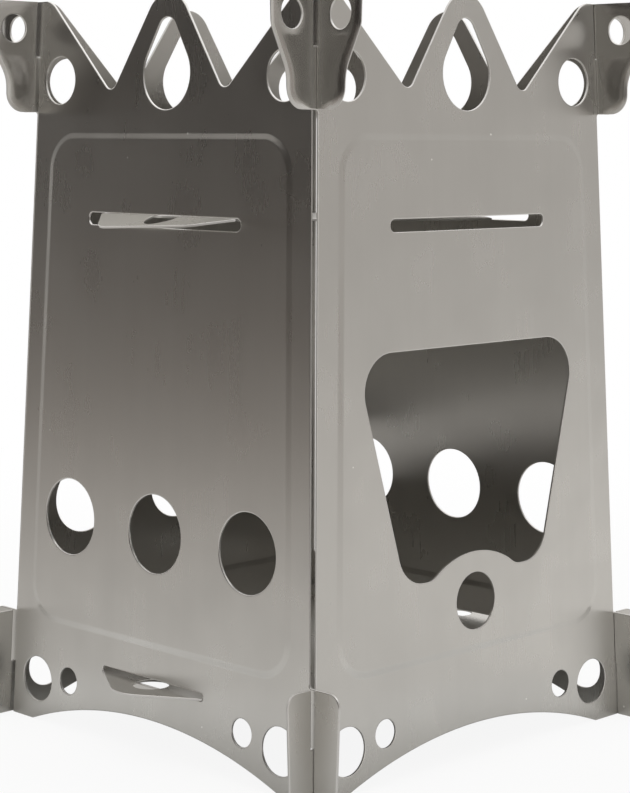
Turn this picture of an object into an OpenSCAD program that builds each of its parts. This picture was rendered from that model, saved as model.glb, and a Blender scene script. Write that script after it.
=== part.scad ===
// Folding twig stove. Four sheet walls lean inward and hook together at the corners.
// Origin at the middle of the footprint, on the ground. +Z up, the fuel port faces -Y.

/* [Sheet and stance] */
// Thickness of every sheet
sheet_t = 0.6; // [0.4:0.1:1.0]
// Lean of each wall from upright, in degrees
lean = 2.2; // [1.5:0.1:3.0]
// Centre of the stove to a wall's outer face, at the feet
base_half = 52.9; // [50:0.1:60]
// Height of the crown above the feet, along the sheet
crown_h = 171.5; // [168:0.5:176]
// Step from a corner slot's side in to a wall's upright edge
edge_step = 0.05; // [0.05:0.05:0.3]

/* [Corner ears] */
// Reach of the upper ears past the corner line
ear_top_reach = 13.9; // [13:0.1:18]
// Reach of the upper ears past the corner line at their waist
ear_waist_reach = 8.5; // [8:0.1:10]
// Crown down to the upper ears' lower edge
ear_low_drop = 25.7; // [24:0.1:28]
// Crown down to where the upper ears start to narrow
ear_full_drop = 8.9; // [5:0.1:11]
// Crown down to the upper ears' waist
ear_waist_drop = 18; // [16:0.1:20]
// Radius of the hole in each upper ear
ear_hole_r = 3.25; // [2.5:0.05:3.8]
// Crown down to the centre of the hole in each upper ear
ear_hole_drop = 6.3; // [5.5:0.1:8]
// Corner line to the centre of the hole in each upper ear
ear_hole_reach = 7.15; // [6.5:0.05:8]
// Reach of the lower ears past the corner line
foot_reach = 7.1; // [6:0.1:9]
// Height of the lower ears' upper edge
foot_ear_h = 25.4; // [24:0.1:28]
// Play on each side of a sheet in its corner slot
lap_play = 0.15; // [0.1:0.05:0.2]
// How far the side walls lift to unhook
lift_travel = 14.5; // [14:0.1:15]

/* [Crown] */
// Centre line to the bottom of each valley
valley_u = 18.9; // [18:0.1:20]
// Crown down to the point where a valley's sides meet
valley_drop = 21.9; // [19:0.1:22.5]
// Rounding of the valleys
valley_r = 2.4; // [1:0.1:3]
// Crown up to the point where the middle peak's sides would meet
peak_rise = 6; // [5:0.1:7]
// Step from the corner line in to a corner peak's shoulder
shoulder_inset = 4.6; // [3:0.1:6]
// Rounding of the corner peaks
shoulder_r = 6; // [3:0.5:8]
// Crown down to the centre of the teardrop's round part
tear_drop = 17.5; // [16.5:0.1:18.5]
// Width of sheet between the teardrop's round part and the peak's sides
tear_web = 5.3; // [4:0.1:7]
// Crown down to the teardrop's point, before that is rounded
tear_tip_web = 2.1; // [1.5:0.1:4]
// Radius of the round hole in each corner peak
crown_hole_r = 5.5; // [4.5:0.1:6]
// Crown down to the centre of the round hole in each corner peak
crown_hole_drop = 18.4; // [17:0.1:19]
// Step from the corner line in to that hole's centre
crown_hole_inset = 9.3; // [8.5:0.1:10]

/* [Feet] */
// Height of the arch between the feet
arch_h = 8.2; // [6:0.1:8.4]
// Step from the corner line in to a foot's inner tip
foot_inset = 9.1; // [8:0.1:10]
// Radius of the large hole in each foot
foot_hole_r = 5.4; // [4.5:0.1:5.8]
// Height of the large hole
foot_hole_h = 10; // [9.5:0.1:11]
// Step from the corner line in to the large hole's centre
foot_hole_inset = 10.4; // [9.5:0.1:11]
// Radius of the small hole in each foot
small_hole_r = 3.2; // [2.5:0.1:3.6]
// Height of the small hole
small_hole_h = 11.6; // [11:0.1:12.5]
// Step from the corner line in to the small hole's centre
small_hole_inset = 22.2; // [21.5:0.1:24]

/* [Raised panel] */
// Height of the raised panel's face over the sheet
panel_rise = 0.5; // [0.3:0.05:0.6]
// Step from the corner line in to the panel's edge
panel_inset = 7.3; // [7:0.1:9]
// Height of the panel's lower edge
panel_low_h = 25.3; // [25:0.1:28]
// Crown down to the panel's upper edge
panel_top_drop = 30.9; // [29.5:0.1:34]
// Rounding of the panel's corners
panel_r = 8.6; // [6:0.1:10]
// Width of the panel's rim, from its outer edge to its hollow
panel_rim = 0.9; // [0.8:0.05:1.2]

/* [Air holes] */
// Radius of the air holes
air_r = 9; // [7:0.1:10]
// Height of the air holes
air_h = 51.1; // [48:0.1:55]
// Spacing of the air holes
air_pitch = 30.6; // [28:0.1:31]

/* [Fuel port] */
// Height of the port's upper edge
port_top_h = 94.3; // [90:0.1:98]
// Height of the port's lower edge
port_low_h = 42.8; // [42:0.1:46]
// Half the port's width at its upper edge
port_top_half = 37.4; // [34:0.1:38.5]
// Half the port's width at its lower edge
port_low_half = 23.3; // [22.5:0.1:25]
// Rounding of the port's upper corners
port_top_r = 8.5; // [6:0.1:10]
// Rounding of the port's lower corners
port_low_r = 8; // [5:0.1:8.2]
// Height of the top of the lip that arches into the port
lip_h = 47.6; // [46:0.1:48.4]
// Radius of that lip
lip_r = 24; // [22:0.5:27]
// Rounding where that lip meets the port's lower edge
lip_end_r = 5; // [2:0.5:6]
// Radius of the hole under the port
port_hole_r = 6.55; // [5.5:0.05:7]
// Height of the hole under the port
port_hole_h = 36.3; // [35.5:0.1:37]

/* [Wall slots] */
// Half the length of the upper slots
upper_slot_half = 25.75; // [25:0.05:28]
// Crown down to the middle of the upper slots
upper_slot_drop = 50.1; // [47:0.1:54]
// Height of the upper slots' opening
upper_slot_gap = 2.8; // [2.7:0.1:3.4]
// Rounding of the upper slots' corners
upper_slot_r = 1.3; // [0.8:0.05:1.35]
// Half the length of the lower slots
lower_slot_half = 17.5; // [17.4:0.05:20]
// Height of the middle of the lower slots
lower_slot_h = 16.9; // [16.5:0.1:19]
// Height of the lower slots' opening
lower_slot_gap = 1.8; // [1.6:0.1:2.2]

/* [Floor plate] */
// Gap from the floor plate's shoulders to the side walls
floor_gap = 0.4; // [0.2:0.05:0.8]
// Half the width of the floor plate's tabs
floor_tab_half = 17.15; // [14:0.05:17.2]
// Reach of those tabs past the wall
floor_tab_reach = 9.4; // [8:0.1:12]
// Radius of the tabs' round tips
floor_tip_r = 8.6; // [6:0.1:9]
// Radius of the hole in each tab
floor_hole_r = 4.2; // [3:0.1:4.6]
// Rounding of the floor plate's corners
floor_corner_r = 4; // [2:0.5:8]

/* [Cross plate] */
// Width of the cross plate
cross_w = 45; // [40:0.5:45.5]
// Middle of the cross plate across the stove, towards the fuel port
cross_side = 2.1; // [1.5:0.1:2.4]
// Far slot to where the cross plate's inner end starts to narrow
cross_narrow_inset = 13.3; // [12:0.1:14.5]
// Reach of the narrowed inner end, which rests in the far slot
cross_inner_reach = 16.4; // [15:0.1:18]
// Reach of the outer end, which bends down past the wall
cross_outer_reach = 7.2; // [6:0.1:9]
// Rounding of both ends' corners
cross_corner_r = 5; // [3:0.5:6]
// Radius of the hole in each end
cross_hole_r = 4.3; // [3:0.1:5]
// Inner end's tip to the centre of its hole
cross_hole_inset = 9.5; // [8:0.1:12]
// Bend line to the centre of the hole in the outer end
cross_hole_out = 1; // [0:0.1:2]
// Bend of the outer end, in degrees
cross_bend = 22; // [5:1:30]
// Gap from the bend to the raised panel's outer face
bend_gap = 0.2; // [0.1:0.1:1]

/* [Hidden] */

// Stock that the level cuts at the feet and the crown take off
trim = 0.15;
// Clearance under a plate that lies in its slots
rest_gap = 0.02;
// Half the gap between the ends of two hooked corner slots
lap_end_gap = 0.05;
// Overshoot of cuts past the faces they open
over = 1;
// Roundings of the narrow slots, the ears, the ears' lower corners and waist, the feet and the teardrop's point
slot_r = 0.8;
ear_r = 3.5;
ear_low_r = 4.4;
waist_r = 9;
foot_r = 3;
tear_tip_r = 3.2;
// Greatest turn between the points of a rounded corner, and the steps of the long arcs
bend_turn = 9;
arc_steps = 16;
// Turn of the lip's arc that its end roundings take up
lip_end_turn = 9;
// Facets of the round holes
hole_fn = 64;
steel = [0.66, 0.66, 0.64];

ear_low_h = crown_h - ear_low_drop;
ear_waist_h = crown_h - ear_waist_drop;
ear_full_h = crown_h - ear_full_drop;
ear_hole_h = crown_h - ear_hole_drop;
valley_h = crown_h - valley_drop;
peak_h = crown_h + peak_rise;
tear_h = crown_h - tear_drop;
crown_hole_h = crown_h - crown_hole_drop;
panel_top_h = crown_h - panel_top_drop;
upper_slot_h = crown_h - upper_slot_drop;
level_top = crown_h * cos(lean);
peak_slope = atan2(valley_u, peak_h - valley_h);
peak_r = (peak_rise - trim) / (1 / sin(peak_slope) - 1);
tear_r = (peak_h - tear_h) * sin(peak_slope) - tear_web;
lap_top_h = (ear_low_h + crown_h) / 2;
lap_low_h = foot_ear_h / 2;
lift_shift = lift_travel * tan(lean);
panel_face = panel_rise + over;

// Where a neighbour's outer face meets this wall, h up the sheet
function corner(h) = base_half - h * sin(lean);
// Outer and inner faces of the walls at height z
function wall_out(z) = base_half - z * tan(lean);
function wall_in(z) = wall_out(z) - sheet_t / cos(lean);

floor_z = (lower_slot_h - lower_slot_gap / 2) * cos(lean) + rest_gap;
floor_half_x = wall_in(floor_z + sheet_t) - floor_gap;
floor_half_y = wall_in(floor_z + sheet_t) - lift_shift - floor_gap;

// The cross plate rests on the lower edge of the far slot and meets the upper edge of the near one
cross_low = (upper_slot_h - upper_slot_gap / 2) * cos(lean) + panel_rise * sin(lean) + rest_gap;
cross_high = (upper_slot_h + upper_slot_gap / 2) * cos(lean) - sheet_t * (1 + sin(lean)) - 2 * rest_gap;
cross_far_x = wall_out(cross_low) + panel_rise;
bend_x = -wall_out(cross_high) - panel_rise - bend_gap;
cross_pitch = atan2(cross_high - cross_low, cross_far_x - bend_x);
// Length of the cross plate at its full width
cross_len = (cross_far_x - bend_x) / cos(cross_pitch) - cross_narrow_inset;

function unit(v) = v / norm(v);
function arc(c, r, a0, a1, n) = [for (i = [0:n]) let (a = a0 + (a1 - a0) * i / n) c + r * [cos(a), sin(a)]];
// Points that round the corner at p, between the points before and after it
function bend(a, p, b, r) =
  let (
    u = unit(a - p),
    v = unit(b - p),
    half = acos(u * v) / 2,
    c = p + unit(u + v) * r / sin(half),
    from = p + u * r / tan(half) - c,
    to = p + v * r / tan(half) - c,
    a0 = atan2(from[1], from[0]),
    turn = atan2(to[1], to[0]) - a0,
    sweep = turn > 180 ? turn - 360 : turn < -180 ? turn + 360 : turn,
    n = max(3, ceil(abs(sweep) / bend_turn))
  )
  arc(c, r, a0, a0 + sweep, n);
function flat(p) = [p[0], p[1]];
// A closed outline of [x, y, radius] corners
function rounded(path) =
  let (n = len(path))
  [for (i = [0:n - 1])
    each path[i][2] > 0
      ? bend(flat(path[(i + n - 1) % n]), flat(path[i]), flat(path[(i + 1) % n]), path[i][2])
      : [flat(path[i])]];
// The half outline and its mirror image, walked back
function mirrored(half) =
  concat(half, [for (i = [len(half) - 1:-1:0]) if (half[i][0] > 0) [-half[i][0], half[i][1], half[i][2]]]);

// Corner line to the inner side of a corner slot, which is wider where the wall lifts past its neighbour
function lap_inner(lifts) = sheet_t / cos(lean) + lap_play + (lifts ? lift_shift : 0);

// Right half of a wall's outline, from the arch up to the middle peak
function wall_half(lifts) =
  let (
    edge_inset = lap_inner(lifts) + edge_step,
    foot_u = corner(0) - foot_inset,
    arch_r = (foot_u * foot_u + arch_h * arch_h) / (2 * arch_h),
    arch_turn = asin(foot_u / arch_r),
    low_edge = corner(foot_ear_h) - edge_inset,
    top_edge = corner(ear_low_h) - edge_inset,
    low_reach = corner(lap_low_h) + foot_reach,
    top_reach = corner(crown_h) + ear_top_reach,
    waist = corner(ear_waist_h) + ear_waist_reach
  )
  concat(
    [for (p = arc([0, arch_h - arch_r], arch_r, 90, 90 - arch_turn, arc_steps)) [p[0], p[1], 0]],
    [
      [foot_u + trim, -trim, 0],
      [low_reach, -trim, foot_r],
      [low_reach, foot_ear_h, foot_r],
      [low_edge, foot_ear_h, slot_r],
      [top_edge, ear_low_h, slot_r],
      [waist, ear_low_h, ear_low_r],
      [waist, ear_waist_h, waist_r],
      [top_reach, ear_full_h, ear_r],
      [top_reach, crown_h + trim, foot_r],
      [corner(crown_h) - shoulder_inset, crown_h + trim, shoulder_r],
      [valley_u, valley_h, valley_r],
      [0, peak_h, peak_r]
    ]
  );

// Raised panel's outline, drawn in from its edge by a step
function panel_path(step) =
  let (low = panel_low_h + step, top = panel_top_h - step, side = panel_inset + step, r = panel_r - step)
  mirrored([[corner(low) - side, low, r], [corner(top) - side, top, r]]);

module round_hole(u, h, r) {
  translate([u, h, -sheet_t - over])
    cylinder(h = sheet_t + panel_face + over, r = r, $fn = hole_fn);
}

module cut_shape(path) {
  translate([0, 0, -sheet_t - over])
    linear_extrude(sheet_t + panel_face + over)
      polygon(rounded(path));
}

module long_slot(half, h, gap, r) {
  cut_shape(mirrored([[half, h - gap / 2, r], [half, h + gap / 2, r]]));
}

// A teardrop: a round hole drawn up to a point
module teardrop() {
  reach = tear_drop - tear_tip_web;
  spread = acos(tear_r / reach);
  side = [tear_r * sin(spread), tear_h + tear_r * cos(spread), 0];
  round_hole(0, tear_h, tear_r);
  cut_shape([[-side[0], side[1], 0], [0, tear_h, 0], side, [0, tear_h + reach, tear_tip_r]]);
}

// Corner slot that runs beside the corner line between two heights, for the neighbour's sheet
module lap_cut(h0, h1, inner, outer) {
  for (side = [-1, 1])
    cut_shape([
      [side * (corner(h0) - inner), h0, 0],
      [side * (corner(h0) + outer), h0, 0],
      [side * (corner(h1) + outer), h1, 0],
      [side * (corner(h1) - inner), h1, 0]
    ]);
}

// Slots of a wall that stands while its neighbours lift off
module standing_laps() {
  inner = lap_inner(false);
  outer = lift_shift + lap_play;
  lap_cut(lap_top_h - lap_end_gap, crown_h + over, inner, outer);
  lap_cut(lap_low_h - lap_end_gap, foot_ear_h + slot_r, inner, outer);
}

// Slots of a wall that lifts off
module lifting_laps() {
  inner = lap_inner(true);
  outer = lap_play;
  lap_cut(ear_low_h - slot_r, lap_top_h + lap_end_gap, inner, outer);
  lap_cut(-over, lap_low_h + lap_end_gap, inner, outer);
}

module common_holes() {
  teardrop();
  long_slot(upper_slot_half, upper_slot_h, upper_slot_gap, upper_slot_r);
  for (side = [-1, 1]) {
    round_hole(side * (corner(ear_hole_h) + ear_hole_reach), ear_hole_h, ear_hole_r);
    round_hole(side * (corner(crown_hole_h) - crown_hole_inset), crown_hole_h, crown_hole_r);
    round_hole(side * (corner(foot_hole_h) - foot_hole_inset), foot_hole_h, foot_hole_r);
    round_hole(side * (corner(small_hole_h) - small_hole_inset), small_hole_h, small_hole_r);
  }
}

module air_holes() {
  for (i = [-1:1])
    round_hole(i * air_pitch, air_h, air_r);
}

// The port: a trapezoid whose lower edge arches up in the middle to form the lip
module fuel_port() {
  lip_u = sqrt(lip_r * lip_r - pow(port_low_h - lip_h + lip_r, 2));
  lip_turn = asin(lip_u / lip_r);
  c = [0, lip_h - lip_r];
  cut_shape(concat(
    [for (p = arc(c, lip_r, 90 + lip_turn - lip_end_turn, 90 - lip_turn + lip_end_turn, arc_steps)) [p[0], p[1], 0]],
    [
      [lip_u, port_low_h, lip_end_r],
      [port_low_half, port_low_h, port_low_r],
      [port_top_half, port_top_h, port_top_r],
      [-port_top_half, port_top_h, port_top_r],
      [-port_low_half, port_low_h, port_low_r],
      [-lip_u, port_low_h, lip_end_r]
    ]
  ));
  round_hole(0, port_hole_h, port_hole_r);
}

// Plain sheet with its raised panel, in the wall's own plane: x across, y up the sheet, z outward
module blank(lifts) {
  difference() {
    union() {
      translate([0, 0, -sheet_t])
        linear_extrude(sheet_t)
          polygon(rounded(mirrored(wall_half(lifts))));
      translate([0, 0, -sheet_t / 2])
        linear_extrude(sheet_t / 2 + panel_rise)
          polygon(rounded(panel_path(0)));
    }
    translate([0, 0, -sheet_t - over])
      linear_extrude(over + panel_rise)
        polygon(rounded(panel_path(panel_rim)));
  }
}

// Leans the wall and turns it to its side, then cuts its feet and crown level
module stand(turn) {
  reach = 2 * base_half;
  rotate([0, 0, turn])
    difference() {
      translate([0, -base_half, 0])
        rotate([90 - lean, 0, 0])
          children();
      translate([-reach, -reach, -over])
        cube([2 * reach, 2 * reach, over]);
      translate([-reach, -reach, level_top])
        cube([2 * reach, 2 * reach, crown_h]);
    }
}

module front_wall() {
  color(steel) stand(0)
    difference() {
      blank(false);
      common_holes();
      standing_laps();
      fuel_port();
    }
}

module back_wall() {
  color(steel) stand(180)
    difference() {
      blank(false);
      common_holes();
      standing_laps();
      air_holes();
    }
}

module side_wall(turn) {
  color(steel) stand(turn)
    difference() {
      blank(true);
      common_holes();
      lifting_laps();
      air_holes();
      long_slot(lower_slot_half, lower_slot_h, lower_slot_gap, slot_r);
    }
}

module left_wall() {
  side_wall(270);
}

module right_wall() {
  side_wall(90);
}

// Outline of a rounded end that narrows from a plate's edge at x to a round tip
function end_path(x, half, reach, r) =
  let (
    c = [x + reach - r, 0],
    b = [x, -half],
    d = norm(c - b),
    a = atan2(half, c[0] - x) - asin(r / d),
    t = b + sqrt(d * d - r * r) * [cos(a), sin(a)] - c,
    a0 = atan2(t[1], t[0])
  )
  concat([b], arc(c, r, a0, -a0, arc_steps), [[x, half]]);

module plate_hole(x, r) {
  translate([x, 0, -over])
    cylinder(h = sheet_t + 2 * over, r = r, $fn = hole_fn);
}

module floor_plate() {
  out_x = wall_out(floor_z);
  tab = end_path(out_x, floor_tab_half, floor_tab_reach, floor_tip_r);
  r = floor_corner_r;
  color(steel)
    translate([0, 0, floor_z])
      difference() {
        union() {
          linear_extrude(sheet_t)
            polygon(rounded(mirrored([[floor_half_x, -floor_half_y, r], [floor_half_x, floor_half_y, r]])));
          linear_extrude(sheet_t)
            polygon(concat(tab, [for (p = tab) -p]));
        }
        for (side = [-1, 1])
          plate_hole(side * out_x, floor_hole_r);
      }
}

// Plan of the cross plate's end, which narrows at 45 degrees past x
function cross_end(x, reach) =
  let (half = cross_w / 2, tip = half - reach)
  [[x, -half, 0], [x + reach, -tip, cross_corner_r], [x + reach, tip, cross_corner_r], [x, half, 0]];

// Seen from the end of the bend: a flat strip in +X, and an end that bends down in -X
function bent_profile(flat_x, bent_x) =
  let (
    d = [-cos(cross_bend), -sin(cross_bend)],
    n = [-sin(cross_bend), cos(cross_bend)] * sheet_t / 2,
    mid = [0, sheet_t / 2],
    fold = [-tan(cross_bend / 2), 1] * sheet_t / 2,
    tip = mid + d * bent_x
  )
  [mid - fold, [flat_x, 0], [flat_x, sheet_t], mid + fold, tip + n, tip - n];

module cross_plate() {
  half = cross_w / 2;
  outer = cross_outer_reach * cos(cross_bend);
  far = cross_len + cross_inner_reach;
  plan = rounded(concat(
    cross_end(cross_len, cross_inner_reach),
    [for (p = cross_end(0, outer)) [-p[0], -p[1], p[2]]]
  ));
  color(steel)
    translate([bend_x, -cross_side, cross_high])
      rotate([0, cross_pitch, 0])
        difference() {
          intersection() {
            rotate([90, 0, 0])
              translate([0, 0, -half - over])
                linear_extrude(cross_w + 2 * over)
                  polygon(bent_profile(far + over, cross_outer_reach + over));
            translate([0, 0, -cross_outer_reach - over])
              linear_extrude(cross_outer_reach + 2 * over)
                polygon(plan);
          }
          plate_hole(far - cross_hole_inset, cross_hole_r);
          rotate([0, -cross_bend, 0])
            plate_hole(-cross_hole_out, cross_hole_r);
        }
}

front_wall();
back_wall();
left_wall();
right_wall();
floor_plate();
cross_plate();
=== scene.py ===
from collections import namedtuple
from math import acos, asin, atan2, ceil, cos, hypot, pi, radians, sin, tan

import bpy
from mathutils import Matrix, Vector
from mathutils.geometry import delaunay_2d_cdt


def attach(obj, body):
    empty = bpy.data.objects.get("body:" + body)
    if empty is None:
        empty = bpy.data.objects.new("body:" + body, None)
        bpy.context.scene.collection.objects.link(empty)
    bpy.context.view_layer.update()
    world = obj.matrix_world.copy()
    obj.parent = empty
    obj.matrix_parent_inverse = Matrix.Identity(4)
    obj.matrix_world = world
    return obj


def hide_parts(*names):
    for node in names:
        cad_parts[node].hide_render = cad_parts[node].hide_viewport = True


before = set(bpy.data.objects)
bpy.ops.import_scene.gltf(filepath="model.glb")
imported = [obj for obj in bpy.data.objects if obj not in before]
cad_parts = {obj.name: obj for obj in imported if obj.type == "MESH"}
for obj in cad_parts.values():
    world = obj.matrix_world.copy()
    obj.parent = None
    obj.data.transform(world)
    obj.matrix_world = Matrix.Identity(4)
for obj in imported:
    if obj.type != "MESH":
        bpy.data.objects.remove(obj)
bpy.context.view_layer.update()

# ---------------------------------------------------------------- sizes, in mm, as in the part's source
# A wall's own coordinates are u, to the right as seen from outside, h, up along the sheet, and z, outwards.
T = 0.6                             # thickness of every sheet
LEAN = radians(2.2)                 # each wall leans in
BASE = 52.9                         # outer face of a wall from the middle, on the ground
CROWN = 171.5                       # top of the crown, along the sheet
LEVEL_TOP = CROWN * cos(LEAN)       # the same above the ground
TRIM = 0.15                         # outlines run this far past the ground and the level top, to be cut there
PLAY = 0.15                         # room in the corner slots
LIFT_SHIFT = 14.5 * tan(LEAN)       # how far leaning walls part when the side walls are lifted
ARC_STEP = radians(5)               # most turn between two points of a rounded corner

# ears beside the crown, and the feet
EAR_LOW, EAR_LOW_R = CROWN - 25.7, 4.4
EAR_WAIST, EAR_WAIST_R = CROWN - 18.0, 9
EAR_FULL, EAR_FULL_R = CROWN - 8.9, 3.5
EAR_TOP_R = 3
EAR_WAIST_REACH = 8.5
EAR_TOP_REACH = 13.9
EAR_CURL = 0.008                    # outward curl: times the square of the distance past the first 2 mm
CURL_START = 2
FOOT_EAR = 25.4
FOOT_REACH = 7.1
FOOT_WIDTH = 9.1                    # from the corner line to the arch between the feet
FOOT_R = 3
ARCH_H = 8.2

# slots at the corners, half as long as the ears and the feet are high
LAP_TOP = (EAR_LOW + CROWN) / 2
LAP_LOW = FOOT_EAR / 2
END_GAP = 0.05
ROOT_GAP = 0.05                     # ears and feet start this far inside their slots
ROOT_R = 0.8
OVERCUT = 1                         # slots are cut this far past the sheet's edge

# peaks and valleys of the crown, and the teardrop in the middle peak
SHOULDER_IN, SHOULDER_R = 4.6, 6
VALLEY_U, VALLEY_H, VALLEY_R = 18.9, CROWN - 21.9, 2.4
PEAK_RISE = 6.0                     # the peak's point, before it is rounded, above the crown
PEAK_H = CROWN + PEAK_RISE
PEAK_SLOPE = atan2(VALLEY_U, PEAK_H - VALLEY_H)
TEAR_DOWN = 17.5                    # middle of the teardrop's round end below the crown
TEAR_WEB = 5.3                      # metal beside it
TEAR_TIP_WEB, TEAR_TIP_R = 2.1, 3.2 # from the crown down to its point, and the rounding there

# middle's height, middle from the corner line, radius and points of the round holes at both sides
SIDE_HOLES = [
    (CROWN - 6.3, 7.15, 3.25, 48),
    (CROWN - 18.4, -9.3, 5.5, 64),
    (10, -10.4, 5.4, 64),
    (11.6, -22.2, 3.2, 48),
]
AIR_PITCH, AIR_H, AIR_R = 30.6, 51.1, 9

# slots for the plates: half length, middle's height, gap and corners
SLOT_HALF, SLOT_H, SLOT_GAP, SLOT_R = 25.75, CROWN - 50.1, 2.8, 1.3
LOW_SLOT_HALF, LOW_SLOT_H, LOW_SLOT_GAP, LOW_SLOT_R = 17.5, 16.9, 1.8, 0.8

# fuel port, its lip and the hole under it
PORT_LOW, PORT_LOW_HALF, PORT_LOW_R = 42.8, 23.3, 8
PORT_TOP, PORT_TOP_HALF, PORT_TOP_R = 94.3, 37.4, 8.5
LIP_TOP, LIP_R, LIP_FOOT_R = 47.6, 24, 5
LIP_END = radians(9)                # where the lip's arc gives way to the rounding at its foot
PORT_HOLE_H, PORT_HOLE_R = 36.3, 6.55

# raised panel
PANEL_IN, PANEL_R = 6.6, 9.3
PANEL_LOW, PANEL_TOP = 24.6, CROWN - 30.2
PANEL_RISE, PANEL_RIM = 0.22, 2.0
PANEL_EASE = 0.25                   # share of the rim that eases in, and as much that eases out
RIM_LINES = 12

# rounding of cut edges, and of the ears' outline: width, depth and final tilt
EDGE = (0.25, 0.09, radians(42))
EAR_EDGE = (2.3, 0.19, radians(22))


def corner(h):
    """Corner line from a wall's middle, h up along the sheet."""
    return BASE - h * sin(LEAN)


def wall_out(z):
    """Outer face of a wall from the stove's middle, z above the ground."""
    return BASE - z * tan(LEAN)


def wall_in(z):
    return wall_out(z) - T / cos(LEAN)


# ---------------------------------------------------------------- outlines
def arc(c, r, a0, a1, n):
    angles = [a0 + (a1 - a0) * i / n for i in range(n + 1)]
    return [(c[0] + r * cos(a), c[1] + r * sin(a)) for a in angles]


def circle(x, y, r, n=72):
    return arc((x, y), r, 0, 2 * pi, n)[:-1]


def bend(a, p, b, r):
    """The arc of radius r that rounds the corner at p, from a's side to b's."""
    ax, ay = a[0] - p[0], a[1] - p[1]
    bx, by = b[0] - p[0], b[1] - p[1]
    la, lb = hypot(ax, ay), hypot(bx, by)
    ax, ay, bx, by = ax / la, ay / la, bx / lb, by / lb
    half = acos(ax * bx + ay * by) / 2
    mx, my = ax + bx, ay + by
    lm = hypot(mx, my)
    c = (p[0] + mx / lm * r / sin(half), p[1] + my / lm * r / sin(half))
    f = (p[0] + ax * r / tan(half) - c[0], p[1] + ay * r / tan(half) - c[1])
    g = (p[0] + bx * r / tan(half) - c[0], p[1] + by * r / tan(half) - c[1])
    a0 = atan2(f[1], f[0])
    sweep = (atan2(g[1], g[0]) - a0 + pi) % (2 * pi) - pi
    return arc(c, r, a0, a0 + sweep, max(3, ceil(abs(sweep) / ARC_STEP)))


def rounded(path):
    """A closed path of (x, y, radius) as plain points; radius 0 keeps a corner sharp."""
    out = []
    n = len(path)
    for i, p in enumerate(path):
        if p[2] > 0:
            out += bend(path[i - 1], p, path[(i + 1) % n], p[2])
        else:
            out.append((p[0], p[1]))
    return out


def mirrored(half):
    return half + [(-p[0], p[1], p[2]) for p in reversed(half) if p[0] > 0]


def lap_inner(lifts):
    """How far a corner slot reaches in from the corner line."""
    return T / cos(LEAN) + PLAY + (LIFT_SHIFT if lifts else 0)


def wall_outline(lifts):
    inset = lap_inner(lifts) + ROOT_GAP
    foot = corner(0) - FOOT_WIDTH
    arch_r = (foot * foot + ARCH_H * ARCH_H) / (2 * ARCH_H)
    peak_r = (PEAK_RISE - TRIM) / (1 / sin(PEAK_SLOPE) - 1)
    low_reach = corner(LAP_LOW) + FOOT_REACH
    top_reach = corner(CROWN) + EAR_TOP_REACH
    waist = corner(EAR_WAIST) + EAR_WAIST_REACH
    arch = arc((0, ARCH_H - arch_r), arch_r, pi / 2, pi / 2 - asin(foot / arch_r), 24)
    half = [(p[0], p[1], 0) for p in arch] + [
        (foot + TRIM, -TRIM, 0),
        (low_reach, -TRIM, FOOT_R),
        (low_reach, FOOT_EAR, FOOT_R),
        (corner(FOOT_EAR) - inset, FOOT_EAR, ROOT_R),
        (corner(EAR_LOW) - inset, EAR_LOW, ROOT_R),
        (waist, EAR_LOW, EAR_LOW_R),
        (waist, EAR_WAIST, EAR_WAIST_R),
        (top_reach, EAR_FULL, EAR_FULL_R),
        (top_reach, CROWN + TRIM, EAR_TOP_R),
        (corner(CROWN) - SHOULDER_IN, CROWN + TRIM, SHOULDER_R),
        (VALLEY_U, VALLEY_H, VALLEY_R),
        (0, PEAK_H, peak_r),
    ]
    return rounded(mirrored(half))


def laps(lifts):
    """Corner slots: open downward in the walls that lift off, upward in the others."""
    inner = lap_inner(lifts)
    outer = PLAY if lifts else LIFT_SHIFT + PLAY
    if lifts:
        spans = [(EAR_LOW - ROOT_R, LAP_TOP + END_GAP), (-OVERCUT, LAP_LOW + END_GAP)]
    else:
        spans = [(LAP_TOP - END_GAP, CROWN + OVERCUT), (LAP_LOW - END_GAP, FOOT_EAR + ROOT_R)]
    out = []
    for h0, h1 in spans:
        for s in (-1, 1):
            out.append([(s * (corner(h0) - inner), h0), (s * (corner(h0) + outer), h0),
                        (s * (corner(h1) + outer), h1), (s * (corner(h1) - inner), h1)])
    return out


def long_slot(half, h, gap, r):
    return rounded(mirrored([(half, h - gap / 2, r), (half, h + gap / 2, r)]))


def teardrop():
    h = CROWN - TEAR_DOWN
    r = (PEAK_H - h) * sin(PEAK_SLOPE) - TEAR_WEB
    reach = TEAR_DOWN - TEAR_TIP_WEB
    a = pi / 2 - acos(r / reach)
    side = (r * cos(a), h + r * sin(a))
    tip = bend((side[0], side[1]), (0, h + reach), (-side[0], side[1]), TEAR_TIP_R)
    return arc((0, h), r, pi - a, 2 * pi + a, 60) + tip


def common_holes():
    out = [teardrop(), long_slot(SLOT_HALF, SLOT_H, SLOT_GAP, SLOT_R)]
    for s in (-1, 1):
        out += [circle(s * (corner(h) + off), h, r, n) for h, off, r, n in SIDE_HOLES]
    return out


def air_holes():
    return [circle(i * AIR_PITCH, AIR_H, AIR_R, 88) for i in (-1, 0, 1)]


def fuel_port():
    """A trapezoid whose lower edge arches up in the middle to form the lip."""
    lip_u = (LIP_R ** 2 - (PORT_LOW - LIP_TOP + LIP_R) ** 2) ** 0.5
    turn = asin(lip_u / LIP_R) - LIP_END
    lip = arc((0, LIP_TOP - LIP_R), LIP_R, pi / 2 + turn, pi / 2 - turn, 32)
    side = [(lip_u, PORT_LOW, LIP_FOOT_R), (PORT_LOW_HALF, PORT_LOW, PORT_LOW_R),
            (PORT_TOP_HALF, PORT_TOP, PORT_TOP_R)]
    return rounded([(x, y, 0) for x, y in lip] + side + [(-x, y, r) for x, y, r in reversed(side)])


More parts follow.
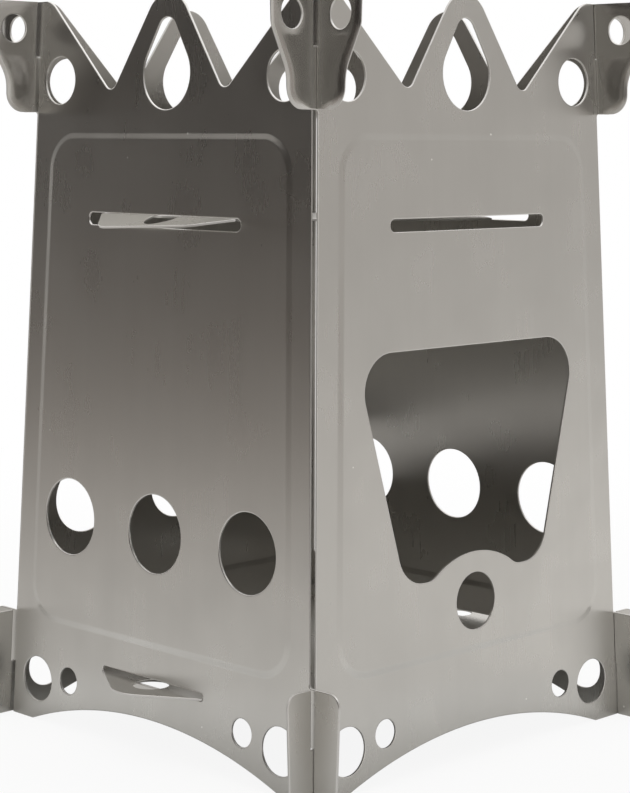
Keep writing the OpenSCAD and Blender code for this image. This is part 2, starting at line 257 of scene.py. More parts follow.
# ---------------------------------------------------------------- the plates
REST_GAP = 0.02                     # between a plate and the slot's edge that it rests on

# the floor plate, square, with a round-tipped tab through each low slot
FLOOR_Z = (LOW_SLOT_H - LOW_SLOT_GAP / 2) * cos(LEAN) + REST_GAP
FLOOR_END_GAP = 0.4                 # to the side walls
FLOOR_X = wall_in(FLOOR_Z + T) - FLOOR_END_GAP
FLOOR_Y = FLOOR_X - LIFT_SHIFT
FLOOR_R = 4
TAB_HALF, TAB_REACH, TAB_R, TAB_HOLE_R = 17.15, 9.4, 8.6, 4.2

# the cross plate rests in the right wall's slot, and its bend touches the top of the left wall's
FAR_PAST, NEAR_PAST = 0.5, 0.7      # from the walls' outer faces to the plate's low point and to its bend
TOP_GAP = 0.04                      # between the bend and the slot's top
SHOULDER_BACK = 13.3                # the far shoulders from the low point
CROSS_LOW = (SLOT_H - SLOT_GAP / 2) * cos(LEAN) + FAR_PAST * sin(LEAN) + REST_GAP
CROSS_HIGH = (SLOT_H + SLOT_GAP / 2) * cos(LEAN) - T * (1 + sin(LEAN)) - TOP_GAP
CROSS_FAR = wall_out(CROSS_LOW) + FAR_PAST
CROSS_NEAR = -wall_out(CROSS_HIGH) - NEAR_PAST
CROSS_PITCH = atan2(CROSS_HIGH - CROSS_LOW, CROSS_FAR - CROSS_NEAR)
CROSS_LEN = (CROSS_FAR - CROSS_NEAR) / cos(CROSS_PITCH) - SHOULDER_BACK
CROSS_HALF = 22.5
CROSS_ASIDE = 2.1                   # the plate sits this far toward -Y in its slots
TIP_REACH, TIP_HALF, TIP_R = 16.4, 6.1, 5
BENT_REACH = 7.2
CROSS_HOLE_R, FAR_HOLE_IN, NEAR_HOLE_OUT = 4.3, 9.5, 1
CROSS_BEND = radians(22)
SLACK_BEND = radians(9)             # the bend at the plate's -Y edge, growing to the full one over SLACK_WIDTH
SLACK_WIDTH = 30
FOLD = 0.19                         # half the width of the bend


def tab_end(x, half, reach, r):
    """A rounded end that narrows from a plate's edge at x to a round tip."""
    c = x + reach - r
    d = hypot(c - x, half)
    a = atan2(half, c - x) - asin(r / d)
    along = (d * d - r * r) ** 0.5
    a0 = atan2(-half + along * sin(a), x + along * cos(a) - c)
    return [(x, -half)] + arc((c, 0), r, a0, -a0, 40) + [(x, half)]


def floor_outline():
    tab = tab_end(wall_out(FLOOR_Z), TAB_HALF, TAB_REACH, TAB_R)
    path = [(FLOOR_X, -FLOOR_Y, FLOOR_R), (FLOOR_X, -TAB_HALF, 0)]
    path += [(x, y, 0) for x, y in tab]
    path += [(FLOOR_X, TAB_HALF, 0), (FLOOR_X, FLOOR_Y, FLOOR_R), (0, FLOOR_Y, 0), (0, -FLOOR_Y, 0)]
    right = rounded(path)[:-2]
    return right + [(-x, -y) for x, y in right]


def floor_place(x, y, z):
    return x, y, FLOOR_Z + T + z


def cross_outline():
    tip = CROSS_HALF - BENT_REACH * cos(CROSS_BEND)
    half = [(0, -CROSS_HALF, 0), (CROSS_LEN, -CROSS_HALF, 0), (CROSS_LEN + TIP_REACH, -TIP_HALF, TIP_R)]
    back = [(x, -y, r) for x, y, r in reversed(half)]
    return rounded(half + back + [(-BENT_REACH, tip, TIP_R), (-BENT_REACH, -tip, TIP_R)])


def cross_place(s, y, z):
    """The flat plate toward +X, its bend, and the end that bends down toward -X, less so at its -Y edge.

    s runs along the sheet's middle from the bend.
    """
    o = z + T / 2
    turn = SLACK_BEND + (CROSS_BEND - SLACK_BEND) * min(1, max(0, (y + CROSS_HALF) / SLACK_WIDTH))
    a = turn * min(1, max(0, (FOLD - s) / (2 * FOLD)))
    r = 2 * FOLD / turn
    x = r * tan(turn / 2) - r * sin(a) + max(0, s - FOLD)
    up = T / 2 - r + r * cos(a)
    past = max(0, -s - FOLD) * cos(CROSS_BEND) / cos(turn)
    x, up = x - past * cos(a) - o * sin(a), up - past * sin(a) + o * cos(a)
    return (CROSS_NEAR + x * cos(CROSS_PITCH) + up * sin(CROSS_PITCH), y - CROSS_ASIDE,
            CROSS_HIGH - x * sin(CROSS_PITCH) + up * cos(CROSS_PITCH))


def fold_lines():
    """Mesh lines across the bend, past both edges of the plate."""
    return [[(FOLD * (1 - k / 2), -30), (FOLD * (1 - k / 2), 30)] for k in range(5)]


# ---------------------------------------------------------------- the raised panel
def line_distance(p, loop):
    best = 1e9
    for (ax, ay), (bx, by) in zip(loop, loop[1:] + loop[:1]):
        dx, dy = bx - ax, by - ay
        t = min(1, max(0, ((p[0] - ax) * dx + (p[1] - ay) * dy) / max(1e-9, dx * dx + dy * dy)))
        best = min(best, hypot(p[0] - ax - t * dx, p[1] - ay - t * dy))
    return best


def panel_corners(step):
    """Corners of the panel's outline, step inside its edge."""
    low, top = PANEL_LOW + step, PANEL_TOP - step
    side = PANEL_IN + step
    right = [(corner(low) - side, low), (corner(top) - side, top)]
    return right + [(-x, y) for x, y in reversed(right)]


INNER = panel_corners(PANEL_R)


def panel_depth(x, y):
    """How far inside the panel's rounded edge a point is."""
    inside = True
    for (ax, ay), (bx, by) in zip(INNER, INNER[1:] + INNER[:1]):
        if (bx - ax) * (y - ay) - (by - ay) * (x - ax) < 0:
            inside = False
    d = line_distance((x, y), INNER)
    return PANEL_R + d if inside else PANEL_R - d


def panel_height(x, y):
    """A ramp of even slope, eased at its foot and its top."""
    t = min(1, max(0, panel_depth(x, y) / PANEL_RIM))
    if t < PANEL_EASE:
        k = t * t / (2 * PANEL_EASE)
    elif t > 1 - PANEL_EASE:
        k = 1 - PANEL_EASE - (1 - t) ** 2 / (2 * PANEL_EASE)
    else:
        k = t - PANEL_EASE / 2
    return PANEL_RISE * k / (1 - PANEL_EASE)


def panel_lines():
    """Mesh lines along the panel's rim."""
    out = []
    for k in range(RIM_LINES + 1):
        step = PANEL_RIM * k / RIM_LINES
        out.append(rounded([(x, y, PANEL_R - step) for x, y in panel_corners(step)]))
    return out


# ---------------------------------------------------------------- the ears
EAR_ROW = 1.1                       # rows of loose points are this far apart, and columns 1 mm
EDGE_CLEAR, HOLE_CLEAR = 0.4, 0.7


def on_ear(u, h):
    return h > EAR_LOW - 0.1 and abs(u) > corner(h) + 1.5


def ear_points(outline, holes):
    """Loose points inside the ears, clear of their edges, that let the curl bend the mesh evenly."""
    out = []
    for reach in range(2, 13):
        for row in range(2, 24):
            h = EAR_LOW + EAR_ROW * row
            for s in (-1, 1):
                p = (s * (corner(h) + reach), h)
                clear = line_distance(p, outline) > EAR_EDGE[0] + EDGE_CLEAR
                if clear and min(line_distance(p, hole) for hole in holes) > HOLE_CLEAR:
                    out.append(([p], False))
    return out


# ---------------------------------------------------------------- sheet mesh from an outline
SNAP = 1e-5                         # points nearer than this become one in the triangulation
MERGE = 0.01                        # points of a finished loop stay this far apart
MITRE = 0.35                        # least mitre factor, so that sharp corners don't throw the ring far
SMOOTH = 0.93                       # cosine of the turn up to which the cut edge is shaded round
SLOPE_STEP, AXIS_STEP = 0.02, 1e-3  # steps of the numeric slopes

# a point on a cut edge: its outer face's normal, how far it is rounded down, and the way out of the sheet
Rim = namedtuple("Rim", "normal drop out")


def counter_clockwise(loop):
    area = sum(a[0] * b[1] - b[0] * a[1] for a, b in zip(loop, loop[1:] + loop[:1]))
    return loop if area > 0 else loop[::-1]


def facing_up(verts, tri):
    a = [verts[i] for i in tri]
    return list(tri) if (a[1] - a[0]).cross(a[2] - a[0]) > 0 else list(reversed(tri))


def triangulate(loops, lines=()):
    """Triangles with the loops each lies in; lines are (points, closed) that the mesh follows."""
    points, edges, faces = [], [], []
    for loop in loops:
        k = len(points)
        points += [Vector(p) for p in counter_clockwise(loop)]
        faces.append(list(range(k, k + len(loop))))
    for line, closed in lines:
        k = len(points)
        points += [Vector(p) for p in line]
        edges += [(k + i, k + i + 1) for i in range(len(line) - 1)]
        if closed:
            edges.append((k + len(line) - 1, k))
    verts, _, tris, _, _, owners = delaunay_2d_cdt(points, edges, faces, 0, SNAP, True)
    return verts, tris, owners


def boundary_loops(outline, cuts, lines=()):
    """The edges of the outline less its cuts, with the sheet on their left."""
    verts, tris, owners = triangulate([outline] + cuts, lines)
    half = {}
    for tri, own in zip(tris, owners):
        if set(own) == {0}:
            tri = facing_up(verts, tri)
            for i in range(3):
                half[(tri[i], tri[(i + 1) % 3])] = True
    follow = {a: b for a, b in half if (b, a) not in half}
    loops = []
    while follow:
        start = next(iter(follow))
        loop, at = [], start
        while at in follow:
            loop.append(at)
            at = follow.pop(at)
        clean = []
        for p in [(verts[i].x, verts[i].y) for i in loop]:
            if not clean or hypot(p[0] - clean[-1][0], p[1] - clean[-1][1]) > MERGE:
                clean.append(p)
        if hypot(clean[0][0] - clean[-1][0], clean[0][1] - clean[-1][1]) < MERGE:
            clean.pop()
        if len(clean) > 2:
            loops.append(clean)
    return loops


def edge_normals(loop):
    """Outward normals before and after each point."""
    out = []
    for (ax, ay), (bx, by) in zip(loop, loop[1:] + loop[:1]):
        d = hypot(bx - ax, by - ay)
        out.append(((by - ay) / d, -(bx - ax) / d))
    return [(out[i - 1], out[i]) for i in range(len(loop))]


def rim_key(p):
    return round(p[0], 4), round(p[1], 4)


def round_edges(loops, has_ears):
    """Rings where the rounding of the cut edges begins, and the Rim of each point on them."""
    wide = max(loops, key=lambda loop: max(p[0] for p in loop) - min(p[0] for p in loop))
    rings, rims = [], {}
    for loop in loops:
        ring = []
        for p, (n0, n1) in zip(loop, edge_normals(loop)):
            mx, my = n0[0] + n1[0], n0[1] + n1[1]
            k = max(MITRE, (mx * mx + my * my) / 2)
            width, drop, turn = EAR_EDGE if has_ears and loop is wide and on_ear(*p) else EDGE
            ring.append((p[0] - width * mx / k, p[1] - width * my / k))
            d = hypot(mx, my) or 1
            tilt = sin(turn) / d
            rims[rim_key(p)] = Rim((mx * tilt, my * tilt, cos(turn)), drop, (mx / d, my / d))
        rings.append(ring)
    return rings, rims


def fill(loops, lines):
    """Points and triangles of the sheet between its loops."""
    verts, tris, owners = triangulate(loops, lines)
    keep = []
    for tri, own in zip(tris, owners):
        if len([o for o in own if o < len(loops)]) % 2 == 1:
            keep.append(facing_up(verts, tri))
    used = sorted({i for t in keep for i in t})
    number = {v: i for i, v in enumerate(used)}
    return [(verts[i].x, verts[i].y) for i in used], [[number[i] for i in t] for t in keep]


def relief(xy, rim, flat):
    """Points of the outer face, then of the inner face, and the outer face's normals away from edges."""
    outer, up = [], []
    e = SLOPE_STEP
    for (x, y), r in zip(xy, rim):
        gx = (flat(x + e, y) - flat(x - e, y)) / (2 * e)
        gy = (flat(x, y + e) - flat(x, y - e)) / (2 * e)
        up.append(Vector((-gx, -gy, 1)).normalized())
        outer.append((x, y, flat(x, y) - (r.drop if r else 0)))
    inner = [(x, y, z - T + (2 * r.drop if r else 0)) for r, (x, y, z) in zip(rim, outer)]
    return outer + inner, up


def faces_and_normals(xy, tris, rim, up, turned):
    """Outer and inner faces and the cut edges between them, with a normal for each face corner."""
    n = len(xy)
    faces, normals = [], []
    for t in tris:
        faces.append(t)
        normals += [turned(i, rim[i].normal if rim[i] else up[i]) for i in t]
        b = [i + n for i in reversed(t)]
        faces.append(b)
        for i in b:
            r = rim[i - n]
            normals.append(turned(i, (*r.normal[:2], -r.normal[2]) if r else -up[i - n]))
    used = {(t[i], t[(i + 1) % 3]) for t in tris for i in range(3)}
    for a, b in sorted(used):
        if (b, a) in used:
            continue
        (ax, ay), (bx, by) = xy[a], xy[b]
        d = hypot(bx - ax, by - ay)
        nx, ny = (by - ay) / d, -(bx - ax) / d
        ends = []
        for i in (a, b):
            m = rim[i].out if rim[i] else (nx, ny)
            ends.append((*(m if m[0] * nx + m[1] * ny > SMOOTH else (nx, ny)), 0))
        faces.append([a, a + n, b + n, b])
        normals += [turned(a, ends[0]), turned(a + n, ends[0]), turned(b + n, ends[1]), turned(b, ends[1])]
    return faces, normals


def sheet(name, outline, cuts, place, height=None, lines=(), folds=()):
    """A sheet with its cut edges rounded, its exact normals and a flat UV map in metres."""
    folds = [(line, False) for line in folds]
    loops = boundary_loops(outline, cuts, folds)
    rings, rims = round_edges(loops, height is not None)
    xy, tris = fill(loops, [(r, True) for r in rings] + list(lines) + folds)
    rim = [rims.get(rim_key(p)) for p in xy]
    local, up = relief(xy, rim, height or (lambda x, y: 0.0))
    co = [Vector(place(*p)) for p in local]
    axes = []
    for p, q in zip(local, co):
        moved = [place(*(p[j] + (AXIS_STEP if j == k else 0) for j in range(3))) for k in range(3)]
        axes.append([(Vector(m) - q).normalized() for m in moved])

    def turned(i, v):
        a = axes[i]
        return (a[0] * v[0] + a[1] * v[1] + a[2] * v[2]).normalized()

    faces, normals = faces_and_normals(xy, tris, rim, up, turned)
    mesh = bpy.data.meshes.new(name)
    mesh.from_pydata([tuple(v / 1000) for v in co], [], faces)
    # all layers are made before any is held, because making one can move the others
    mesh.uv_layers.new(name="sheet")
    mesh.attributes.new("cut_edge", "FLOAT", "CORNER")
    mesh.attributes.new("ear", "FLOAT", "POINT")
    uv, cut, ear = mesh.uv_layers["sheet"], mesh.attributes["cut_edge"], mesh.attributes["ear"]
    for i, (u, h, _) in enumerate(local):
        ear.data[i].value = min(1, max(0, (abs(u) - corner(h)) / 3)) if height and h > EAR_LOW - 1 else 0.0
    for poly in mesh.polygons:
        poly.use_smooth = True
        for k in poly.loop_indices:
            i = mesh.loops[k].vertex_index
            uv.data[k].uv = (local[i][0] / 1000, local[i][1] / 1000)
            cut.data[k].value = 1.0 if len(poly.vertices) == 4 or rim[i % len(xy)] else 0.0
    mesh.normals_split_custom_set([tuple(v) for v in normals])
    obj = bpy.data.objects.new(name, mesh)
    bpy.context.scene.collection.objects.link(obj)
    return obj


def wall_place(turn):
    """From a wall's own coordinates to the stove's; the ears curl out a little toward their tips."""
    c, s = cos(radians(turn)), sin(radians(turn))

    def place(u, h, z):
        if h > EAR_LOW - 5:
            z += EAR_CURL * max(0, abs(u) - corner(h) - CURL_START) ** 2
        x, y = u, -BASE + h * sin(LEAN) - z * cos(LEAN)
        up = min(LEVEL_TOP, max(0, h * cos(LEAN) + z * sin(LEAN)))
        return x * c - y * s, x * s + y * c, up
    return place


# ---------------------------------------------------------------- nodes
def node(tree, kind, x=0, y=0, **values):
    n = tree.nodes.new(kind)
    n.location = (x, y)
    for k, v in values.items():
        setattr(n, k, v)
    return n


def empty_tree(owner):
    owner.use_nodes = True
    owner.node_tree.nodes.clear()
    return owner.node_tree


def feed(tree, socket, value):
    """Links an output to a socket, or sets the socket's own value."""
    if isinstance(value, bpy.types.NodeSocket):
        tree.links.new(value, socket)
    else:
        socket.default_value = value


def combine(tree, operation, a, b, x=0, y=0):
    n = node(tree, "ShaderNodeMath", x, y, operation=operation)
    feed(tree, n.inputs[0], a)
    feed(tree, n.inputs[1], b)
    return n.outputs[0]


def ramp(tree, value, source, target, kind, x=0, y=0):
    """Maps a value from the source's two limits to the target's."""
    n = node(tree, "ShaderNodeMapRange", x, y, interpolation_type=kind)
    for name, v in zip(("From Min", "From Max", "To Min", "To Max"), (*source, *target)):
        n.inputs[name].default_value = v
    feed(tree, n.inputs["Value"], value)
    return n.outputs[0]


# ---------------------------------------------------------------- material
BASE_COLOUR = (0.56, 0.545, 0.515)
CUT_COLOUR = (0.62, 0.605, 0.58)
DUST_COLOUR = (0.92, 0.91, 0.88)
ROUGH, ROUGH_MOTTLE, ROUGH_GRAIN = 0.29, 0.03, 0.01
EAR_POLISH = 0.09                   # the ears are rubbed smoother by assembling
DUST_ROUGH, CUT_ROUGH = 0.7, 0.42
GRAIN = 0.87                        # how much further reflections spread across the grain
WAVE_DEPTH = 0.00010                # metres


def steel(name, seed=0.0, grain_turn=0.0):
    """Satin rolled sheet: directional grain, soft mottling, a few dust specks and paler, duller cut edges."""
    m = bpy.data.materials.new(name)
    t = empty_tree(m)
    out = node(t, "ShaderNodeOutputMaterial", 1200, 0)
    bsdf = node(t, "ShaderNodeBsdfPrincipled", 900, 0)
    t.links.new(bsdf.outputs[0], out.inputs[0])
    bsdf.inputs["Metallic"].default_value = 1.0
    bsdf.inputs["Anisotropic"].default_value = GRAIN
    bsdf.inputs["Anisotropic Rotation"].default_value = grain_turn
    along = node(t, "ShaderNodeTangent", 600, 300, direction_type="UV_MAP", uv_map="sheet")
    t.links.new(along.outputs[0], bsdf.inputs["Tangent"])
    uv = node(t, "ShaderNodeUVMap", -1300, 0, uv_map="sheet").outputs[0]

    def noise(scale, detail, y):
        """Noise of so many cells a metre across and up the sheet."""
        place = node(t, "ShaderNodeMapping", -1000, y)
        place.inputs["Scale"].default_value = (*scale, 1)
        place.inputs["Location"].default_value = (seed * 13.7, seed * 5.1, 0)
        tex = node(t, "ShaderNodeTexNoise", -800, y)
        tex.inputs["Scale"].default_value = 1.0
        tex.inputs["Detail"].default_value = detail
        t.links.new(uv, place.inputs[0])
        t.links.new(place.outputs[0], tex.inputs["Vector"])
        return tex.outputs["Fac"]

    def spread(fac, low, high, y):
        return ramp(t, fac, (0.3, 0.7), (low, high), "LINEAR", -550, y)

    def mix(fac, a, b, x):
        k = node(t, "ShaderNodeMix", x, 100, data_type="RGBA")
        feed(t, k.inputs[6], a)
        feed(t, k.inputs[7], b)
        t.links.new(fac, k.inputs[0])
        return k.outputs[2]

    def shade(k):
        return (*(c * k for c in BASE_COLOUR), 1)

    grain = noise((700, 14), 2.0, 300)
    streak = noise((260, 9), 4.0, 0)
    mottle = noise((70, 55), 3.0, -300)
    wave = noise((26, 15), 1.0, -600)

    # dust: small round specks in one of three cells of a 9 mm pattern
    cells = node(t, "ShaderNodeTexVoronoi", -1000, -900)
    cells.inputs["Scale"].default_value = 110
    t.links.new(uv, cells.inputs["Vector"])
    near = ramp(t, cells.outputs["Distance"], (0.036, 0.020), (0, 1), "SMOOTHSTEP", -750, -900)
    pick = node(t, "ShaderNodeSeparateColor", -750, -1100)
    t.links.new(cells.outputs["Color"], pick.inputs[0])
    few = combine(t, "GREATER_THAN", pick.outputs[0], 0.62, -550, -1100)
    speck = combine(t, "MULTIPLY", near, few, -350, -950)
    edge = node(t, "ShaderNodeAttribute", -550, 500, attribute_name="cut_edge").outputs["Fac"]

    colour = mix(spread(streak, 0, 1, 0), shade(0.99), shade(1.01), -300)
    colour = mix(spread(mottle, 0, 0.35, -300), colour, shade(0.93), -100)
    colour = mix(speck, colour, (*DUST_COLOUR, 1), 100)
    colour = mix(edge, colour, (*CUT_COLOUR, 1), 300)
    t.links.new(colour, bsdf.inputs["Base Color"])

    mottled = spread(mottle, ROUGH - ROUGH_MOTTLE, ROUGH + ROUGH_MOTTLE, -250)
    rough = combine(t, "ADD", mottled, spread(grain, -ROUGH_GRAIN, ROUGH_GRAIN, -450), -100, -300)
    ear = node(t, "ShaderNodeAttribute", -350, -700, attribute_name="ear").outputs["Fac"]
    rough = combine(t, "SUBTRACT", rough, combine(t, "MULTIPLY", ear, EAR_POLISH, -150, -700), 0, -450)
    rough = combine(t, "MAXIMUM", rough, combine(t, "MULTIPLY", speck, DUST_ROUGH, -100, -600), 100, -300)
    rough = combine(t, "MAXIMUM", rough, combine(t, "MULTIPLY", edge, CUT_ROUGH, 100, -500), 300, -300)
    t.links.new(rough, bsdf.inputs["Roughness"])

    slow = node(t, "ShaderNodeBump", 500, -500)
    slow.inputs["Strength"].default_value = 1.0
    slow.inputs["Distance"].default_value = WAVE_DEPTH
    t.links.new(wave, slow.inputs["Height"])
    t.links.new(slow.outputs[0], bsdf.inputs["Normal"])
    return m


# ---------------------------------------------------------------- pieces
for key, turn, lifts in (("front", 0, False), ("back", 180, False), ("left", 270, True), ("right", 90, True)):
    cuts = common_holes() + laps(lifts)
    if key == "front":
        cuts += [fuel_port(), circle(0, PORT_HOLE_H, PORT_HOLE_R, 72)]
    else:
        cuts += air_holes()
    if lifts:
        cuts.append(long_slot(LOW_SLOT_HALF, LOW_SLOT_H, LOW_SLOT_GAP, LOW_SLOT_R))
    lines = [(line, True) for line in panel_lines()] + ear_points(wall_outline(lifts), common_holes())
    obj = sheet(f"{key}_wall_sheet", wall_outline(lifts), cuts, wall_place(turn), panel_height, lines)
    obj.data.materials.append(steel(f"satin_steel_{key}", seed=turn / 90 + 1))
    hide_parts(f"{key}_wall")
    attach(obj, "side_walls" if lifts else "standing_walls")

floor_holes = [circle(k * wall_out(FLOOR_Z), 0, TAB_HOLE_R, 64) for k in (-1, 1)]
floor_plate = sheet("floor_plate_sheet", floor_outline(), floor_holes, floor_place)
cross_holes = [circle(x, 0, CROSS_HOLE_R, 64) for x in (CROSS_LEN + TIP_REACH - FAR_HOLE_IN, -NEAR_HOLE_OUT)]
cross_plate = sheet("cross_plate_sheet", cross_outline(), cross_holes, cross_place, folds=fold_lines())
for obj, name, body, seed, grain_turn in (
        (floor_plate, "floor_plate", "side_walls", 7.0, 0.0),
        (cross_plate, "cross_plate", "cross_plate", 11.0, 0.25)):
    obj.data.materials.append(steel(f"satin_steel_{name}", seed, grain_turn))
    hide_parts(name)
    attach(obj, body)


# ---------------------------------------------------------------- the studio that the metal mirrors
# A round sweep about the stove: table, rounded foot and upright. FLAGS gives brightness by distance in
# metres, out along the table and from 1.25 on up the upright; SECTORS says which flag fills each
# direction, in degrees from +X, with soft steps between.
RING_R = 1.25
RING_FROM, RING_STEPS = -46, 240
TABLE = (0.12, 0.16, 0.213, 0.25, 0.30, 0.36, 0.42, 0.49, 0.566, 0.64, 0.726, 0.85, 1.0, 1.12, RING_R)
TABLE_Z = 0.0006
UPRIGHT = (0.02, 0.043, 0.07, 0.092, 0.12, 0.143, 0.20, 0.272, 0.34, 0.40, 0.43, 0.45, 0.47, 0.55, 0.7, 0.95)
FLAGS = {
    "dark": [(0.12, 0.76), (0.213, 0.72), (0.30, 0.66), (0.42, 0.58), (0.566, 0.49), (0.726, 0.40),
             (1.0, 0.29), (1.25, 0.22), (1.293, 0.17), (1.342, 0.12), (1.393, 0.085), (1.522, 0.045),
             (1.65, 0.04), (1.70, 0.06), (1.74, 0.6), (1.80, 1.0), (2.2, 1.0)],
    "mid": [(0.12, 0.80), (0.35, 0.70), (0.8, 0.50), (1.25, 0.38), (2.2, 0.36)],
    "dim": [(0.12, 0.80), (0.35, 0.70), (0.8, 0.40), (1.25, 0.08), (1.4, 0.02), (2.2, 0.02)],
    "light": [(0.12, 0.97), (0.566, 0.95), (0.726, 0.93), (1.25, 0.85), (1.342, 0.73), (1.393, 0.70),
              (1.65, 0.72), (1.8, 0.80), (2.2, 0.9)],
    "shine": [(0.12, 0.95), (0.7, 1.0), (1.25, 1.2), (1.4, 1.5), (2.2, 1.5)],
    "white": [(0.12, 0.86), (0.7, 0.92), (1.25, 1.0), (2.2, 1.0)],
}
SECTORS = [(-46, "light"), (5, "light"), (25, "white"), (108, "white"), (115, "dark"), (165, "dark"),
           (175, "dim"), (228, "dim"), (243, "shine"), (266, "shine"), (276, "mid"), (299, "mid"),
           (309, "light"), (314, "light")]


def between(keys, x):
    """Straight-line interpolation in a table of (x, value)."""
    for (x0, v0), (x1, v1) in zip(keys, keys[1:]):
        if x <= x1:
            return v0 + (v1 - v0) * max(0, x - x0) / (x1 - x0)
    return keys[-1][1]


def ring_colour(yaw, s):
    """Grey of the sweep, a little warmer where it is dark."""
    for (y0, a), (y1, b) in zip(SECTORS, SECTORS[1:]):
        if y0 <= yaw <= y1:
            k = (yaw - y0) / (y1 - y0)
            v = between(FLAGS[a], s) * (1 - k) + between(FLAGS[b], s) * k
            warm = min(1, max(0, (0.75 - v) / 0.6))
            return v, v * (0.985 - 0.095 * warm), v * (0.965 - 0.155 * warm)
    return 1.0, 1.0, 1.0


def studio_ring():
    """The sweep's mesh, seen only in reflections."""
    path = [(r, r, TABLE_Z) for r in TABLE] + [(RING_R + z, RING_R, z) for z in UPRIGHT]
    verts, faces, tint = [], [], []
    for i in range(RING_STEPS):
        yaw = RING_FROM + 360 * i / RING_STEPS
        c, n = cos(radians(yaw)), sin(radians(yaw))
        for s, r, z in path:
            verts.append((r * c, r * n, z))
            tint.append(ring_colour(yaw, s))
    k = len(path)
    for i in range(RING_STEPS):
        j = (i + 1) % RING_STEPS
        faces += [(i * k + m, j * k + m, j * k + m + 1, i * k + m + 1) for m in range(k - 1)]
    mesh = bpy.data.meshes.new("studio_ring")
    mesh.from_pydata(verts, [], faces)
    tone = mesh.attributes.new("tone", "FLOAT_COLOR", "POINT")
    for i, c in enumerate(tint):
        tone.data[i].color = (*c, 1)
    m = bpy.data.materials.new("studio_ring_face")
    t = empty_tree(m)
    out = node(t, "ShaderNodeOutputMaterial", 300, 0)
    e = node(t, "ShaderNodeEmission", 0, 0)
    a = node(t, "ShaderNodeAttribute", -300, 0, attribute_name="tone")
    t.links.new(a.outputs["Color"], e.inputs[0])
    t.links.new(e.outputs[0], out.inputs[0])
    m.cycles.emission_sampling = "NONE"
    mesh.materials.append(m)
    obj = bpy.data.objects.new("studio_ring", mesh)
    bpy.context.scene.collection.objects.link(obj)
    obj.visible_camera = False
    obj.visible_shadow = False
    obj.visible_diffuse = False


studio_ring()


# ---------------------------------------------------------------- world, floor and light
def studio_world():
    """Soft grey light, and white where the camera, gloss or glass looks past the floor."""
    world = bpy.data.worlds.new("studio")
    bpy.context.scene.world = world
    t = empty_tree(world)
    out = node(t, "ShaderNodeOutputWorld", 600, 0)
    split = node(t, "ShaderNodeMixShader", 400, 0)
    soft = node(t, "ShaderNodeBackground", 100, 100)
    soft.inputs[0].default_value = (0.9, 0.9, 0.9, 1)
    soft.inputs[1].default_value = 0.7
    white = node(t, "ShaderNodeBackground", 100, -100)
    white.inputs[0].default_value = (1, 1, 1, 1)
    white.inputs[1].default_value = 1.0
    path = node(t, "ShaderNodeLightPath", -300, 200)
    seen = combine(t, "MAXIMUM", path.outputs["Is Camera Ray"], path.outputs["Is Glossy Ray"], -50, 250)
    seen = combine(t, "MAXIMUM", seen, path.outputs["Is Transmission Ray"], 100, 250)
    t.links.new(seen, split.inputs[0])
    t.links.new(soft.outputs[0], split.inputs[1])
    t.links.new(white.outputs[0], split.inputs[2])
    t.links.new(split.outputs[0], out.inputs[0])


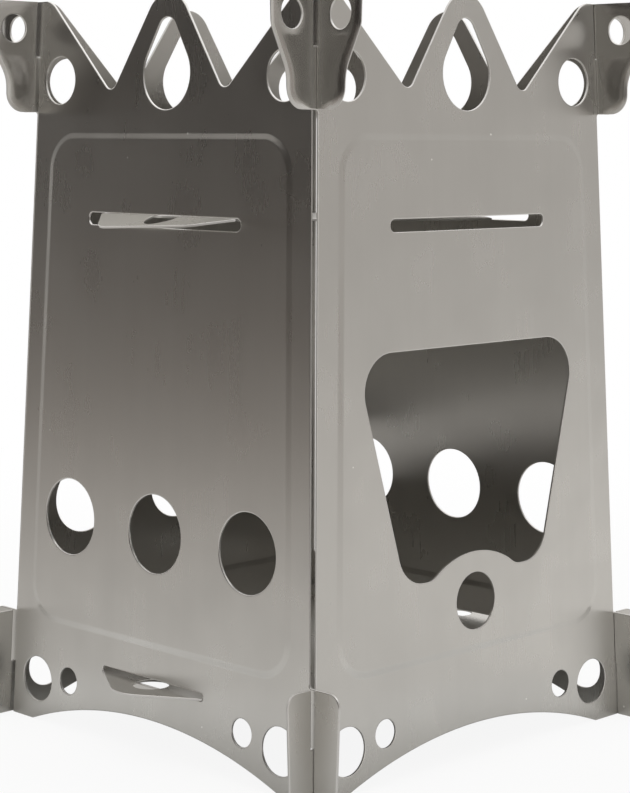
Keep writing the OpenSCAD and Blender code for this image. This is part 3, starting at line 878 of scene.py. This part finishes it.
def pale_floor():
    """White to the camera but for the soft shadow under the stove, and half white to gloss beyond it."""
    mesh = bpy.data.meshes.new("floor")
    mesh.from_pydata([(-9, -9, 0), (9, -9, 0), (9, 9, 0), (-9, 9, 0)], [], [(0, 1, 2, 3)])
    obj = bpy.data.objects.new("floor", mesh)
    bpy.context.scene.collection.objects.link(obj)
    obj.location.z = -0.0001
    m = bpy.data.materials.new("pale_floor")
    t = empty_tree(m)
    out = node(t, "ShaderNodeOutputMaterial", 800, 0)
    split = node(t, "ShaderNodeMixShader", 600, 0)
    diffuse = node(t, "ShaderNodeBsdfDiffuse", 300, 100)
    diffuse.inputs[0].default_value = (0.82, 0.82, 0.81, 1)
    white = node(t, "ShaderNodeEmission", 300, -100)
    white.inputs[0].default_value = (1, 1, 1, 1)
    path = node(t, "ShaderNodeLightPath", -300, 200)
    place = node(t, "ShaderNodeNewGeometry", -700, -100)
    far = node(t, "ShaderNodeVectorMath", -500, -100, operation="LENGTH")
    t.links.new(place.outputs["Position"], far.inputs[0])
    away = far.outputs["Value"]
    fade = ramp(t, away, (0.10, 0.45), (0.90, 1.0), "SMOOTHSTEP", -300, -100)
    camera = combine(t, "MULTIPLY", path.outputs["Is Camera Ray"], fade, 0, 200)
    mirror = combine(t, "MAXIMUM", path.outputs["Is Glossy Ray"], path.outputs["Is Transmission Ray"], 0, 0)
    shade = ramp(t, away, (0.06, 0.11), (0, 0.5), "SMOOTHSTEP", -300, -350)
    mirror = combine(t, "MULTIPLY", mirror, shade, 200, 0)
    t.links.new(combine(t, "MAXIMUM", camera, mirror, 400, 200), split.inputs[0])
    t.links.new(diffuse.outputs[0], split.inputs[1])
    t.links.new(white.outputs[0], split.inputs[2])
    t.links.new(split.outputs[0], out.inputs[0])
    m.cycles.emission_sampling = "NONE"
    mesh.materials.append(m)


def softbox():
    """A wide lamp overhead, facing down."""
    lamp = bpy.data.lights.new("softbox", "AREA")
    lamp.shape = "RECTANGLE"
    lamp.size, lamp.size_y = 2.0, 2.0
    lamp.energy = 10.0
    obj = bpy.data.objects.new("softbox", lamp)
    bpy.context.scene.collection.objects.link(obj)
    obj.location = (0.2, 0.1, 1.3)


studio_world()
pale_floor()
softbox()

# ---------------------------------------------------------------- camera, as fitted to the photograph
EYE = (-0.35109, -0.35286, 0.14003)
YAW, PITCH, ROLL = radians(45.16), radians(-7.10), radians(0.231)
cam = bpy.data.cameras.new("camera")
cam.sensor_width = 36
cam.lens = 94.457
cam.clip_start = 0.01
cam_obj = bpy.data.objects.new("camera", cam)
bpy.context.scene.collection.objects.link(cam_obj)
look = Vector((cos(PITCH) * cos(YAW), cos(PITCH) * sin(YAW), sin(PITCH)))
level = Vector((sin(YAW), -cos(YAW), 0))
above = level.cross(look)
side = level * cos(ROLL) + above * sin(ROLL)
top = above * cos(ROLL) - level * sin(ROLL)
cam_obj.matrix_world = Matrix.Translation(EYE) @ Matrix((side, top, -look)).transposed().to_4x4()
bpy.context.scene.camera = cam_obj

bpy.context.scene.view_settings.view_transform = "Standard"
